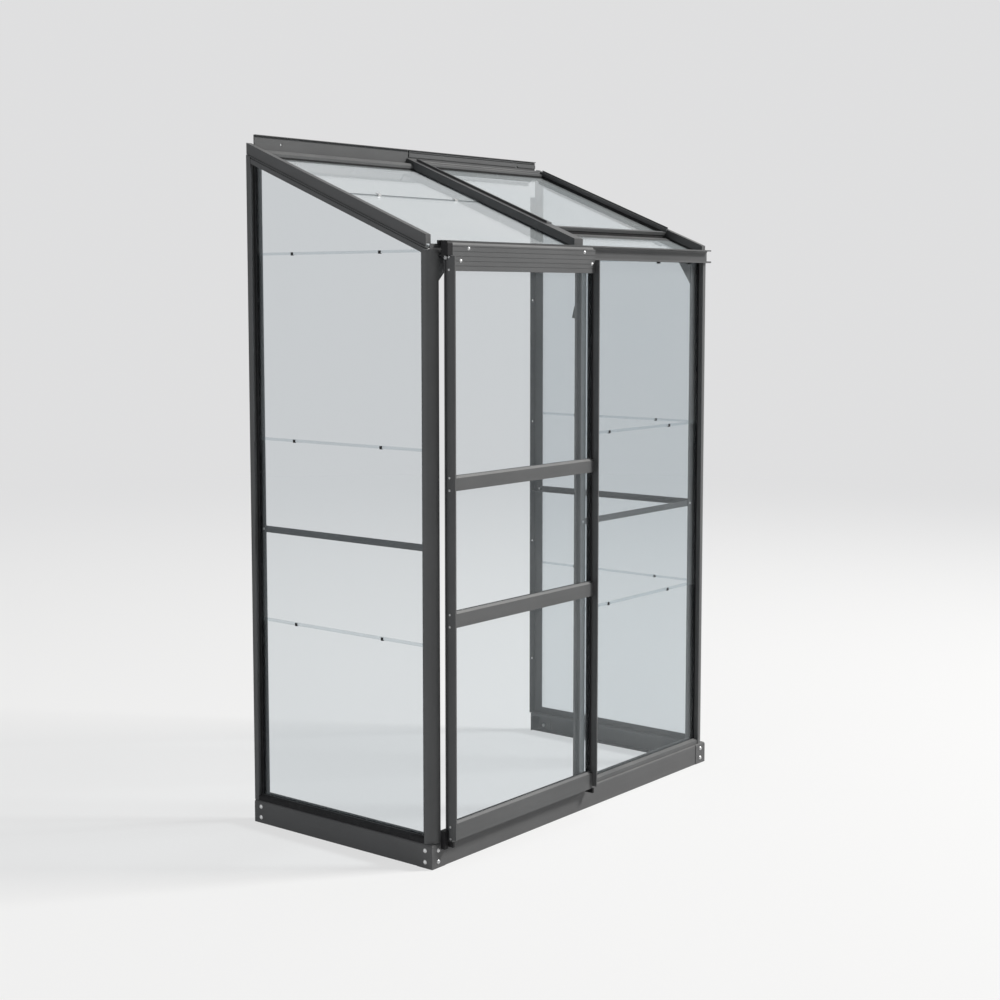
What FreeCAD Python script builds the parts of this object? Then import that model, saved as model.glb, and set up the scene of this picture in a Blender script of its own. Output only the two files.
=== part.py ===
import FreeCAD, Part
import math
import os

# Lean-to greenhouse with a sliding door, a roof vent and a steel base, in millimetres.
# Everything is drawn from the front left floor corner of the base: x runs along the front,
# y runs back to the house wall, z runs up. At the end each piece is moved so that the
# origin lies in the middle of the footprint.

# Driving dimensions
WIDTH = 1317.0
WALL_Y = 657.0
DOOR_FRONT_Y = -38.0
RIDGE_HEIGHT = 1900.0
ROOF_PITCH = 22.0
BASE_HEIGHT = 63.0
SHEET = 2.0
GLASS = 3.0

# Heights of the roof layers above the floor, read at y = 0
LEDGE_LEVEL = 1580.6
PANE_LEVEL = 1584.0
CAP_FOOT_LEVEL = 1587.6
CAP_LEVEL = 1611.0
VENT_PANE_LEVEL = 1594.0
VENT_SEAL_LEVEL = 1602.6
VENT_LEVEL = 1618.5
SLOPE = math.tan(math.radians(ROOF_PITCH))

# Base
BASE_DEPTH = 45.0
BASE_FOOT = 30.0
BASE_ROUND = 8.0
RAIL_INSET = 1.6
BASE_SHEET = 1.6
CORNER_LEG = 52.0
BASE_BOLT_OFFSET = 25.0
BASE_BOLT_HEIGHTS = (16.0, 46.0)
BASE_BOLT_HOLE = 3.2

# Posts and glass planes, measured inward from the outer face of the base
POST_FACE = 3.0
POST_ROUND = 27.0
POST_FRONT = 37.0
POST_SIDE = 30.0
POST_BACK = 29.0
POST_TOP = 1580.0
SIDE_FLANGE = 23.0
FRONT_FLANGE = 33.0
FLANGE_IN = 27.0
PANE_IN = 17.0
PANE_LEAN = 3.3
WALL_POST_Y = 642.0
WALL_FLANGE = 18.0
WALL_HOLE_Z = (250.0, 650.0, 1050.0, 1450.0)
WALL_HOLE = 3.5
CENTRE_FLANGE = (650.0, 702.0)
CENTRE_WEB = (674.0, 678.0)

# Stacked panes and their clips
PANE_FOOT = 72.1
PANE_PITCH = 500.5
PANE_HEIGHT = 508.0
SIDE_PANE_Y = (33.0, 638.0)
FRONT_PANE_X = (668.0, 1277.0)
MID_BAR_Z = (817.0, 835.0)
CLIP_Y = (184.0, 499.5)
CLIP_X = (805.0, 1119.0)
CLIP_WIDTH = 8.0
EAVE_CLIP_X = (1053.0, 1224.0)
ROOF_CLIP_X = (221.0, 542.0)
SEAL_GAP = 0.3
SEAL_BACK = 23.7

# Eave track
TRACK_Z = (1565.0, 1604.0)
TRACK_Y = (-5.0, 13.0)
TRACK_START = 42.0
TRACK_END = 1313.0
TRACK_TAB_X = 13.5

# Roof bars and panes
END_BAR_X = (4.0, 23.0)
CENTRE_BAR_X = (651.0, 691.0)
END_BAR_FOOT_Y = 17.0
CENTRE_BAR_FOOT_Y = 32.0
END_WALL = 3.0
ROOF_LAP_Y = 370.0
ROOF_FOOT_Y = 16.0
ROOF_HEAD_Y = 640.0
LOWER_PANE_HEAD_Y = 135.0
PANE_SLOT = 3.5

# Ridge plate
RIDGE_X = (31.0, 1281.0)
RIDGE_THICK = 3.5
RIDGE_JOINT_X = (656.5, 659.5)
RIDGE_RIBS = ((1878.5, 1890.0), (1893.2, 1895.6))
RIDGE_HOLE_X = (132.0, 1185.0)
RIDGE_HOLE_Z = 1879.0
HOOD_X = (24.5, 650.0)

# Vent
VENT_FOOT_Y = 149.0
VENT_OVERHANG = 5.0
VENT_HEAD_Y = 632.0
VENT_WEB_X = (671.0, 1298.0)
VENT_LEG_X = (693.0, 1292.5)
VENT_SEAL_Y = (626.0, 631.0)
HINGE_LIP_Y = 622.0
HINGE_Y = 641.5
HINGE_Z = 1866.0
HINGE_BEAD = 3.5
SILL_TOP = 1642.8
SILL_BAR_X = (692.0, 1289.5)
STAY_X = 960.0
STAY_Z = 1647.5
STAY_LENGTH = 265.0

# Door
DOOR_X = (50.0, 676.0)
DOOR_BACK_Y = -3.0
RAIL_FACE_Y = -23.5
RAIL_BACK_Y = -8.5
STILE_Z = (71.0, 1564.0)
RAIL_HEIGHTS = {
    "door_bottom_rail": (65.0, 115.0),
    "door_mid_rail_lower": (621.5, 663.5),
    "door_mid_rail_upper": (973.0, 1011.5),
    "door_top_rail": (1527.5, 1598.5),
}
DOOR_MIDDLE = (DOOR_X[0] + DOOR_X[1]) / 2
DOOR_PANE_Y = (-14.0, -11.0)
RAIL_MIDDLES = (89.0, 642.5, 992.0, 1545.8)
SCREW_SPACING = 31.6
SCREW_Y = -20.0
DOOR_BOLTS = ((122.7, 1584.0), (91.1, 1552.6), (622.6, 1584.0), (657.9, 1552.6))
DOOR_BOLT_HOLE = 2.7
GRIP_LINES_Z = (1539.0, 1551.0, 1563.0, 1575.0, 1587.0)
ROLLER_X = (107.0, 640.0)
ROLLER_RADIUS = 12.0
ROLLER_Z = TRACK_Z[0] + SHEET + ROLLER_RADIUS + 0.2
AXLE_RADIUS = 3.0

# Small bolts through the frame
SIDE_BOLT_Y = (46.0, 632.0)
FRONT_BOLT_X = (690.0, 1256.0)
GABLE_RIVET = (14.5, 17.0)
FRAME_BOLT_HOLE = 2.1

TO_CENTRE = FreeCAD.Vector(-WIDTH / 2, -(WALL_Y + DOOR_FRONT_Y) / 2, 0)
X_DIR = FreeCAD.Vector(1, 0, 0)
Y_DIR = FreeCAD.Vector(0, 1, 0)
Z_DIR = FreeCAD.Vector(0, 0, 1)
UPHILL = FreeCAD.Vector(0, -math.sin(math.radians(ROOF_PITCH)), math.cos(math.radians(ROOF_PITCH)))


def box(x0, x1, y0, y1, z0, z1):
    return Part.makeBox(x1 - x0, y1 - y0, z1 - z0, FreeCAD.Vector(x0, y0, z0))


def rod(x, y, z, direction, radius, length):
    return Part.makeCylinder(radius, length, FreeCAD.Vector(x, y, z), direction)


def outline(axis, corners):
    """Face across the given axis. A corner of four numbers is an arc through (u, v) to (u2, v2)."""
    place = {
        "x": lambda u, v: FreeCAD.Vector(0, u, v),
        "y": lambda u, v: FreeCAD.Vector(u, 0, v),
        "z": lambda u, v: FreeCAD.Vector(u, v, 0),
    }[axis]
    edges = []
    here = place(*corners[0])
    for corner in list(corners[1:]) + [corners[0]]:
        end = place(*corner[-2:])
        if len(corner) == 4:
            edges.append(Part.Arc(here, place(*corner[:2]), end).toShape())
        elif here.distanceToPoint(end) > 0:
            edges.append(Part.makeLine(here, end))
        here = end
    return Part.Face(Part.Wire(edges))


def bar(axis, corners, start, end):
    """Straight extrusion of an outline along x, y or z."""
    direction = {"x": X_DIR, "y": Y_DIR, "z": Z_DIR}[axis]
    face = outline(axis, corners)
    face.translate(direction * start)
    return face.extrude(direction * (end - start))


def fuse(first, *others):
    return first.multiFuse(list(others)).removeSplitter()


def group(shapes):
    return Part.makeCompound(shapes)


def mirrored(shape):
    """The same piece for the other side of the greenhouse."""
    return shape.mirror(FreeCAD.Vector(WIDTH / 2, 0, 0), X_DIR)


def level_z(level, y):
    return level + SLOPE * y


def roof_bar(corners, y0, y1):
    """Extrusion along the roof slope with plumb ends: corners are (x, level)."""
    face = outline("y", corners)
    face.translate(FreeCAD.Vector(0, y0, SLOPE * y0))
    return face.extrude(FreeCAD.Vector(0, y1 - y0, SLOPE * (y1 - y0)))


def roof_box(x0, x1, y0, y1, low, high):
    return roof_bar([(x0, low), (x1, low), (x1, high), (x0, high)], y0, y1)


def roof_pane(x0, x1, y0, y1, level, lift):
    """Pane on the slope; its lower edge is lifted so that it can lap over the pane below."""
    low = level_z(level, y0) + lift
    high = level_z(level, y1)
    return bar("x", [(y0, low - GLASS), (y0, low), (y1, high), (y1, high - GLASS)], x0, x1)


def domed_head(radius):
    rise = 3.2
    ball = (radius * radius + rise * rise) / (2 * rise)
    dome = Part.makeSphere(ball)
    dome.translate(Z_DIR * (rise - ball))
    return dome.common(box(-2 * ball, 2 * ball, -2 * ball, 2 * ball, 0, 2 * ball))


def set_in(piece, x, y, z, direction):
    """Turn a fixing drawn along z to its direction and move it to its place."""
    piece.Placement = FreeCAD.Placement(FreeCAD.Vector(x, y, z), FreeCAD.Rotation(Z_DIR, direction))
    return piece


def domed_bolt(x, y, z, direction, grip, head=6.0, shank=3.0):
    """Bolt with a domed head outside and a hexagon nut inside, as one tightened piece."""
    nut_height = 4.5
    nut_radius = head * 0.95
    nut_foot = -grip - nut_height
    corners = []
    for n in range(7):
        turn = math.radians(60 * n)
        corners.append(FreeCAD.Vector(nut_radius * math.cos(turn), nut_radius * math.sin(turn), nut_foot))
    nut = Part.Face(Part.makePolygon(corners)).extrude(Z_DIR * nut_height)
    stem = rod(0, 0, nut_foot - 1.5, Z_DIR, shank, grip + nut_height + 2)
    return set_in(fuse(domed_head(head), stem, nut), x, y, z, direction)


def rivet(x, y, z, direction, grip):
    return set_in(fuse(domed_head(3.6), rod(0, 0, -grip, Z_DIR, 2.0, grip + 0.5)), x, y, z, direction)


# Base

def base_section(depth, foot):
    """Cold formed rail: a web with a rounded shoulder, a top shelf with a lip, and a foot."""
    top = BASE_HEIGHT
    bend = BASE_ROUND
    inner = bend - BASE_SHEET
    half = math.cos(math.radians(45))
    return [
        (foot, 0), (foot, BASE_SHEET), (BASE_SHEET, BASE_SHEET), (BASE_SHEET, top - bend),
        (bend - inner * half, top - bend + inner * half, bend, top - BASE_SHEET),
        (depth - BASE_SHEET, top - BASE_SHEET), (depth - BASE_SHEET, top - 9), (depth, top - 9),
        (depth, top), (bend, top),
        (bend - bend * half, top - bend + bend * half, 0, top - bend), (0, 0),
    ]


def corner_plate_section():
    """Thin skin outside the rail that follows its rounded shoulder part of the way."""
    wrap = math.radians(50)
    outer = BASE_ROUND + RAIL_INSET
    low = BASE_HEIGHT - BASE_ROUND
    points = []
    for radius, order in ((outer, (wrap / 2, wrap)), (BASE_ROUND, (wrap / 2, 0))):
        for angle in order:
            points.append((outer - radius * math.cos(angle), low + radius * math.sin(angle)))
    inner_end = (outer - BASE_ROUND * math.cos(wrap), low + BASE_ROUND * math.sin(wrap))
    return [(0, 0), (0, low), points[0] + points[1], inner_end, points[2] + points[3], (RAIL_INSET, 0)]


def corner_wedge(side):
    """Half plane on one side of the mitre through the front left corner."""
    reach = 2 * WALL_Y
    if side == 0:
        return [(0, 0), (reach, reach), (-reach, reach), (-reach, 0)]
    return [(0, 0), (reach, reach), (reach, -reach), (0, -reach)]


def base_bolt_holes(piece):
    """Clearance holes for every base bolt."""
    for along in (BASE_BOLT_OFFSET, WIDTH - BASE_BOLT_OFFSET):
        for z in BASE_BOLT_HEIGHTS:
            piece = piece.cut(rod(along, -20, z, Y_DIR, BASE_BOLT_HOLE, 60))
    for along in (BASE_BOLT_OFFSET, WALL_Y - BASE_BOLT_OFFSET):
        for z in BASE_BOLT_HEIGHTS:
            piece = piece.cut(rod(-20, along, z, X_DIR, BASE_BOLT_HOLE, 60))
            piece = piece.cut(rod(WIDTH - 40, along, z, X_DIR, BASE_BOLT_HOLE, 60))
    return piece


def base_pieces():
    section = []
    for corner in base_section(BASE_DEPTH, BASE_FOOT):
        section.append(tuple(v + (RAIL_INSET if n % 2 == 0 else 0) for n, v in enumerate(corner)))
    left = bar("y", section, 0, WALL_Y)
    front = bar("x", section, 0, WIDTH)
    reach = 2 * WALL_Y
    near = RAIL_INSET
    far = WIDTH - RAIL_INSET
    mitre = 300.0
    behind = [(near, near), (reach, reach), (-reach, reach), (-reach, near)]
    left = left.common(bar("z", behind, -1, BASE_HEIGHT + 1))
    keep = [(near, near), (far, near), (far - mitre, near + mitre), (near + mitre, near + mitre)]
    front = front.common(bar("z", keep, -1, BASE_HEIGHT + 1))
    shell = corner_plate_section()
    plate = fuse(bar("y", shell, 0, CORNER_LEG).common(bar("z", corner_wedge(0), -1, BASE_HEIGHT)),
                 bar("x", shell, 0, CORNER_LEG).common(bar("z", corner_wedge(1), -1, BASE_HEIGHT)))
    inside = RAIL_INSET + BASE_SHEET
    flap = BASE_DEPTH + 2
    bracket = bar("z", [(inside, WALL_Y - CORNER_LEG), (inside + SHEET, WALL_Y - CORNER_LEG),
                        (inside + SHEET, WALL_Y - SHEET), (flap, WALL_Y - SHEET),
                        (flap, WALL_Y), (inside, WALL_Y)], BASE_SHEET + 0.5, BASE_HEIGHT - 10)
    bolts = []
    for z in BASE_BOLT_HEIGHTS:
        side = domed_bolt(0, BASE_BOLT_OFFSET, z, -X_DIR, inside)
        face = domed_bolt(BASE_BOLT_OFFSET, 0, z, -Y_DIR, inside)
        rear = domed_bolt(RAIL_INSET, WALL_Y - BASE_BOLT_OFFSET, z, -X_DIR, BASE_SHEET + SHEET)
        for piece in (side, face, rear):
            bolts += [piece, mirrored(piece)]
    front = base_bolt_holes(front)
    left = base_bolt_holes(left)
    plate = base_bolt_holes(plate)
    bracket = base_bolt_holes(bracket)
    return {
        "base_rail_front": front,
        "base_rail_left": left,
        "base_rail_right": mirrored(left),
        "base_corner_plates": group([plate, mirrored(plate)]),
        "base_wall_brackets": group([bracket, mirrored(bracket)]),
        "base_bolts": group(bolts),
    }


# Posts

def corner_post(with_front_flange):
    """Quarter-round hollow corner post of the left side, with a glazing flange on its wall side."""
    half = math.cos(math.radians(45))
    centre = POST_FACE + POST_ROUND
    outer = [
        (POST_FACE, POST_SIDE),
        (centre - POST_ROUND * half, centre - POST_ROUND * half, centre, POST_FACE),
        (POST_FRONT, POST_FACE), (POST_FRONT, POST_BACK), (POST_BACK, POST_BACK), (POST_BACK, POST_SIDE),
    ]
    radius = POST_ROUND - SHEET
    inner = [
        (POST_FACE + SHEET, POST_SIDE - SHEET),
        (centre - radius * half, centre - radius * half, centre - SHEET, POST_FACE + SHEET + 0.08),
        (POST_FRONT - SHEET, POST_FACE + SHEET), (POST_FRONT - SHEET, POST_BACK - SHEET),
        (POST_BACK - SHEET, POST_BACK - SHEET), (POST_BACK - SHEET, POST_SIDE - SHEET),
    ]
    top = POST_TOP
    foot = BASE_HEIGHT + SHEET
    post = bar("z", outer, BASE_HEIGHT, top).cut(bar("z", inner, BASE_HEIGHT - 1, top + 1))
    side_flange = box(FLANGE_IN, FLANGE_IN + SHEET, POST_SIDE - SHEET, POST_SIDE + SIDE_FLANGE, foot, top)
    post = fuse(post, side_flange)
    notch_back = TRACK_Y[1] + 0.3
    if with_front_flange:
        post = fuse(post, box(POST_FRONT - SHEET, POST_FRONT + FRONT_FLANGE, FLANGE_IN, FLANGE_IN + SHEET,
                              foot, TRACK_Z[0]))
        return post.cut(box(-1, POST_FRONT + 1, -1, notch_back, TRACK_Z[0], top + 1))
    notch_front = TRACK_Y[1] - SHEET - 0.3
    return post.cut(box(TRACK_TAB_X, POST_FRONT + 1, notch_front, notch_back, TRACK_Z[0], top + 1))


def above_level(level):
    """Everything above a plane parallel to the roof."""
    high = 3000.0
    return bar("x", [(-100, level_z(level, -100)), (WALL_Y + 100, level_z(level, WALL_Y + 100)),
                     (WALL_Y + 100, high), (-100, high)], -WIDTH, 2 * WIDTH)


def wall_post():
    """Hollow post against the house wall, with a glazing flange and wall fixing holes."""
    top = level_z(LEDGE_LEVEL, WALL_Y)
    foot = BASE_HEIGHT + SHEET
    post = box(POST_FACE, POST_BACK, WALL_POST_Y, WALL_Y, BASE_HEIGHT, top)
    post = post.cut(box(POST_FACE + SHEET, POST_BACK - SHEET, WALL_POST_Y + SHEET, WALL_Y - SHEET,
                        BASE_HEIGHT - 1, top + 1))
    flange = box(FLANGE_IN, FLANGE_IN + SHEET, WALL_POST_Y - WALL_FLANGE, WALL_POST_Y + SHEET, foot, top)
    wall_flange = box(POST_BACK - SHEET, POST_BACK + 25, WALL_Y - SHEET, WALL_Y, foot, top - 60)
    post = fuse(post, flange, wall_flange)
    for z in WALL_HOLE_Z:
        post = post.cut(rod(POST_BACK + 13, WALL_Y - 10, z, Y_DIR, WALL_HOLE, 20))
    return post.cut(above_level(LEDGE_LEVEL - SHEET - 0.1))


def sills():
    """Glazing sills on the base: a sloped outer nose, a pane channel and a foot."""
    low = BASE_HEIGHT
    section = [(5, low), (5, low + 11), (15, low + 17), (15, low + 8), (24.5, low + 8), (24.5, low + 21),
               (26.5, low + 21), (26.5, low + SHEET), (42, low + SHEET), (42, low)]
    front = bar("x", section, POST_FRONT, WIDTH - POST_FRONT)
    left = bar("y", section, POST_SIDE, WALL_Y)
    left = left.cut(box(POST_BACK - 1, 60, POST_SIDE - 1, 43, low - 1, low + 40))
    return front, left


def centre_post():
    """T post between the doorway and the fixed glass, with a rebate for the pane and a door latch."""
    x0, x1 = CENTRE_FLANGE
    inner = FLANGE_IN + SHEET
    foot = BASE_HEIGHT + SHEET
    flange = box(x0, x1, FLANGE_IN, inner, foot, TRACK_Z[0])
    web = box(CENTRE_WEB[0], CENTRE_WEB[1], inner, inner + 12, foot, TRACK_Z[0])
    pane_edge = FRONT_PANE_X[0] - SEAL_GAP
    rebate = box(pane_edge - 3, pane_edge, PANE_IN, FLANGE_IN, BASE_HEIGHT + 21.5, TRACK_Z[0])
    latch = bar("y", [(x0 - 14, 1404), (x0, 1402), (x0, 1436), (x0 - 3, 1436)], FLANGE_IN, inner)
    return fuse(flange, web, rebate, latch)


def frame_uprights():
    left_post = bored(corner_post(False))
    right_post = bored(mirrored(bored(corner_post(True))))
    rear = bored(wall_post())
    front_sill, left_sill = sills()
    front_sill = front_sill.cut(left_post).cut(right_post)
    left_sill = left_sill.cut(left_post).cut(rear)
    low, high = MID_BAR_Z
    inner = FLANGE_IN + SHEET
    side = fuse(box(inner, inner + SHEET, POST_SIDE + 2, WALL_Y - SHEET, low, high),
                box(inner, inner + 18, POST_SIDE + 2, WALL_Y - SHEET, low, low + SHEET))
    side = bored(side)
    start = CENTRE_WEB[1] + 2
    end = WIDTH - POST_BACK - 19
    front = fuse(box(start, end, inner, inner + SHEET, low, high),
                 box(start, end, inner, inner + 14, low, low + SHEET))
    gusset = bar("y", [(29.3, 1465), (131, 1566), (131, 1582), (29.3, 1582)], inner + 0.2, inner + 2.2)
    return {
        "corner_post_left": left_post,
        "corner_post_right": right_post,
        "wall_post_left": rear,
        "wall_post_right": mirrored(rear),
        "centre_post": bored(centre_post()),
        "sill_front": front_sill,
        "sill_left": left_sill,
        "sill_right": mirrored(left_sill),
        "mid_bar_left": side,
        "mid_bar_right": mirrored(side),
        "mid_bar_front": bored(front),
        "eave_gussets": group([gusset, mirrored(gusset)]),
    }


# Glass in the walls

def wall_glass():
    side_panes = []
    front_panes = []
    for n in range(3):
        foot = PANE_FOOT + n * PANE_PITCH
        head = foot + PANE_HEIGHT
        section = [(PANE_IN, foot), (PANE_IN + GLASS, foot), (PANE_IN + GLASS + PANE_LEAN, head),
                   (PANE_IN + PANE_LEAN, head)]
        side_panes.append(bar("y", section, *SIDE_PANE_Y))
        front_panes.append(bar("x", section, *FRONT_PANE_X))
    foot = PANE_FOOT + 3 * PANE_PITCH
    head = LEDGE_LEVEL - SHEET - 1.8
    shape = [(SIDE_PANE_Y[0], foot), (SIDE_PANE_Y[1], foot), (SIDE_PANE_Y[1], level_z(head, SIDE_PANE_Y[1])),
             (SIDE_PANE_Y[0], level_z(head, SIDE_PANE_Y[0]))]
    gable = bar("x", shape, PANE_IN, PANE_IN + GLASS)
    return {
        "left_wall_panes": group(side_panes),
        "right_wall_panes": group([mirrored(pane) for pane in side_panes]),
        "front_panes": group(front_panes),
        "left_gable_pane": gable,
        "right_gable_pane": mirrored(gable),
    }


def lap_clips():
    """Small black hooks under the lower edge of each pane that laps over another."""
    clips = []
    for n in (1, 2, 3):
        foot = PANE_FOOT + n * PANE_PITCH
        section = [(PANE_IN - 1.6, foot - 1.5), (PANE_IN + GLASS, foot - 1.5), (PANE_IN + GLASS, foot - 0.2),
                   (PANE_IN - 0.1, foot - 0.2), (PANE_IN - 0.1, foot + 7), (PANE_IN - 1.6, foot + 7)]
        for y in CLIP_Y:
            side = bar("y", section, y - CLIP_WIDTH / 2, y + CLIP_WIDTH / 2)
            clips += [side, mirrored(side)]
        if n < 3:
            clips += [bar("x", section, x - CLIP_WIDTH / 2, x + CLIP_WIDTH / 2) for x in CLIP_X]
    for x in EAVE_CLIP_X:
        clips.append(box(x - 5, x + 5, TRACK_Y[1], 19.8, TRACK_Z[0] - 5, TRACK_Z[0] + 6))
    return clips


def glazing_seals():
    """Black rubber strips at the edges of the wall panes, and over the noses of the side sills."""
    low = PANE_FOOT
    near_edge = SIDE_PANE_Y[0] - SEAL_GAP
    rear_edge = SIDE_PANE_Y[1] + SEAL_GAP
    near = bar("z", [(PANE_IN, POST_SIDE), (PANE_IN, near_edge), (SEAL_BACK, near_edge), (SEAL_BACK, 42),
                     (FLANGE_IN, 42), (FLANGE_IN, POST_SIDE)], low, POST_TOP)
    lip = PANE_IN - 3
    rear = bar("z", [(lip, WALL_POST_Y), (lip, rear_edge - 4), (PANE_IN - 0.1, rear_edge - 4),
                     (PANE_IN - 0.1, rear_edge), (SEAL_BACK, rear_edge), (SEAL_BACK, rear_edge - 1.8),
                     (FLANGE_IN, rear_edge - 1.8), (FLANGE_IN, WALL_POST_Y)],
               low, level_z(LEDGE_LEVEL - SHEET - 2, 630))
    edge = FRONT_PANE_X[1] + SEAL_GAP
    post_side = WIDTH - POST_FRONT
    front = bar("z", [(post_side, PANE_IN), (edge, PANE_IN), (edge, SEAL_BACK), (1273, SEAL_BACK),
                      (1273, FLANGE_IN), (post_side, FLANGE_IN)], low, TRACK_Z[0])
    sill_top = BASE_HEIGHT + 21.5
    side_trim = box(24, FLANGE_IN, 20, WALL_POST_Y, 0, sill_top)
    base = BASE_HEIGHT
    cover = bar("y", [(3.6, base + 0.4), (3.6, base + 11.8), (12.28, base + 17), (13, base + 15.8),
                      (5, base + 11), (5, base + 0.4)], POST_SIDE + 0.5, WALL_POST_Y - 0.5)
    near = near.cut(side_trim)
    rear = rear.cut(side_trim).cut(box(0, PANE_IN, 600, WALL_POST_Y, 0, BASE_HEIGHT + 17.3))
    front = front.cut(box(600, 1300, 24, FLANGE_IN, 0, sill_top))
    return [near, rear, cover, mirrored(near), mirrored(rear), mirrored(cover), front]


# Eave, ridge and roof bars

def eave_track():
    """Channel open to the front that carries the door rollers, with a pane flange behind it."""
    y0, y1 = TRACK_Y
    z0, z1 = TRACK_Z
    back = y1 - SHEET
    top_round = 8.0
    foot_round = 4.0
    near = 1 - math.cos(math.radians(45))
    channel = [
        (y0, z0), (y1, z0), (y1, z1), (y0, z1), (y0, z1 - 4), (y0 + SHEET, z1 - 4), (y0 + SHEET, z1 - SHEET),
        (back - top_round, z1 - SHEET),
        (back - top_round * near, z1 - SHEET - top_round * near, back, z1 - SHEET - top_round),
        (back, z0 + SHEET + foot_round),
        (back - foot_round * near, z0 + SHEET + foot_round * near, back - foot_round, z0 + SHEET),
        (y0 + SHEET, z0 + SHEET), (y0 + SHEET, z0 + 5), (y0, z0 + 5),
    ]
    tab = box(TRACK_TAB_X, TRACK_START, back, y1, z0 + SHEET, z1 - 9)
    inner_end = WIDTH - POST_FRONT - 0.5
    shelf = box(TRACK_START, inner_end, y1, 30, z0 + 18, z0 + 20)
    flange = box(TRACK_START, inner_end, FLANGE_IN, FLANGE_IN + SHEET, z0, z0 + 18)
    ledge = box(TRACK_START, inner_end, 28, 30, z0 + 20, z0 + 24.8)
    return fuse(bar("x", channel, TRACK_START, TRACK_END), tab, shelf, flange, ledge)


def ridge_plate():
    """Wall plate with a top lip, ribs above the vent, a hood over the left pane and a hinge hook."""
    x0, x1 = RIDGE_X
    face = WALL_Y - RIDGE_THICK
    plate = box(x0, x1, face, WALL_Y, 1836, RIDGE_HEIGHT)
    lip = box(x0, x1, face - 5.5, face, RIDGE_HEIGHT - SHEET, RIDGE_HEIGHT)
    hood = bar("x", [(face, 1861), (633, 1857.5), (626, 1850), (626, 1842.5), (628, 1842.5), (628, 1849),
                     (634, 1855.3), (face, 1858.8)], *HOOD_X)
    hook_x = (VENT_LEG_X[0] + SHEET + 1, VENT_LEG_X[1] - SHEET - 1)
    shelf = box(*hook_x, 640.5, face, HINGE_Z - HINGE_BEAD - 2.5, HINGE_Z - HINGE_BEAD - 0.3)
    hook = box(*hook_x, 642, face, HINGE_Z + HINGE_BEAD + 0.4, HINGE_Z + HINGE_BEAD + 2.5)
    ribs = [box(RIDGE_JOINT_X[1], x1, face - 2.5, face, low, high) for low, high in RIDGE_RIBS]
    piece = fuse(plate, lip, hood, shelf, hook, *ribs)
    piece = piece.cut(box(*RIDGE_JOINT_X, face - 6, face + 1.5, 1862, RIDGE_HEIGHT + 1))
    for x in RIDGE_HOLE_X:
        piece = piece.cut(rod(x, face - 10, RIDGE_HOLE_Z, Y_DIR, WALL_HOLE, 30))
    return piece


def centre_bar():
    """Roof bar between the bays: a cap with a closed front end, a web, and a flange below the panes."""
    x0, x1 = CENTRE_BAR_X
    middle = (x0 + x1) / 2
    head = WALL_Y - RIDGE_THICK - 0.1
    cap = roof_box(x0, x1, CENTRE_BAR_FOOT_Y, head, CAP_FOOT_LEVEL, CAP_LEVEL)
    hollow = roof_box(x0 + SHEET, x1 - SHEET, CENTRE_BAR_FOOT_Y + END_WALL, head + 5,
                      CAP_FOOT_LEVEL + SHEET, CAP_LEVEL - SHEET)
    foot_y = ROOF_FOOT_Y + 2
    web = roof_box(middle - 2, middle + 2, foot_y, head, LEDGE_LEVEL - SHEET, CAP_FOOT_LEVEL)
    flange = roof_box(middle - 10, middle + 10, foot_y, head, LEDGE_LEVEL - SHEET, LEDGE_LEVEL)
    return fuse(cap.cut(hollow), web, flange)


def end_bar():
    """Narrow bar over the left edge of the roof, closed in front, with a skin down to the gable rail."""
    x0, x1 = END_BAR_X
    head = WALL_Y - 0.5
    foot = CAP_FOOT_LEVEL
    cap = roof_box(x0, x1, END_BAR_FOOT_Y, head, foot, CAP_LEVEL)
    hollow = roof_box(x0 + SHEET, x1 - SHEET, END_BAR_FOOT_Y + END_WALL, head + 5,
                      foot + SHEET, CAP_LEVEL - SHEET)
    skin = roof_box(x0, x0 + SHEET, END_BAR_FOOT_Y, head, LEDGE_LEVEL + 0.2, foot)
    return fuse(cap.cut(hollow), skin)


def gable_rail():
    """Rail under the left edge of the roof: a ledge with a nose, a stepped skirt and a flange inside."""
    top = LEDGE_LEVEL
    foot_y = ROOF_FOOT_Y - 2
    head = WALL_Y - 4
    ledge = roof_box(0.5, 26.5, foot_y, head, top - SHEET, top)
    skirt = roof_bar([(7, top - 1), (7, top - 6.6), (4, top - 6.6), (4, top - 20.1), (6, top - 20.1),
                      (6, top - 8.6), (9, top - 8.6), (9, top - 1)], foot_y, head)
    skirt = skirt.cut(box(0, 100, 0, POST_SIDE + 0.5, 1500, POST_TOP + 0.3))
    skirt = skirt.cut(box(0, 100, WALL_POST_Y - 0.5, WALL_Y + 100, 1500, 2100))
    inner = roof_box(24.5, 26.5, 60, 612, top - 18, top - 1)
    return bored(fuse(ledge, skirt, inner))


def roof_clip(x):
    """Bright hook that holds the upper roof pane where it laps over the lower one."""
    low = level_z(PANE_LEVEL, ROOF_LAP_Y)
    section = [(ROOF_LAP_Y - 1.6, low + 0.1), (ROOF_LAP_Y - 1.6, low + 4.6), (ROOF_LAP_Y + 9, low + 8.4),
               (ROOF_LAP_Y + 9, low + 7.2), (ROOF_LAP_Y - 0.2, low + 3.4), (ROOF_LAP_Y - 0.2, low + 0.3)]
    return bar("x", section, x - 6, x + 6)


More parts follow.
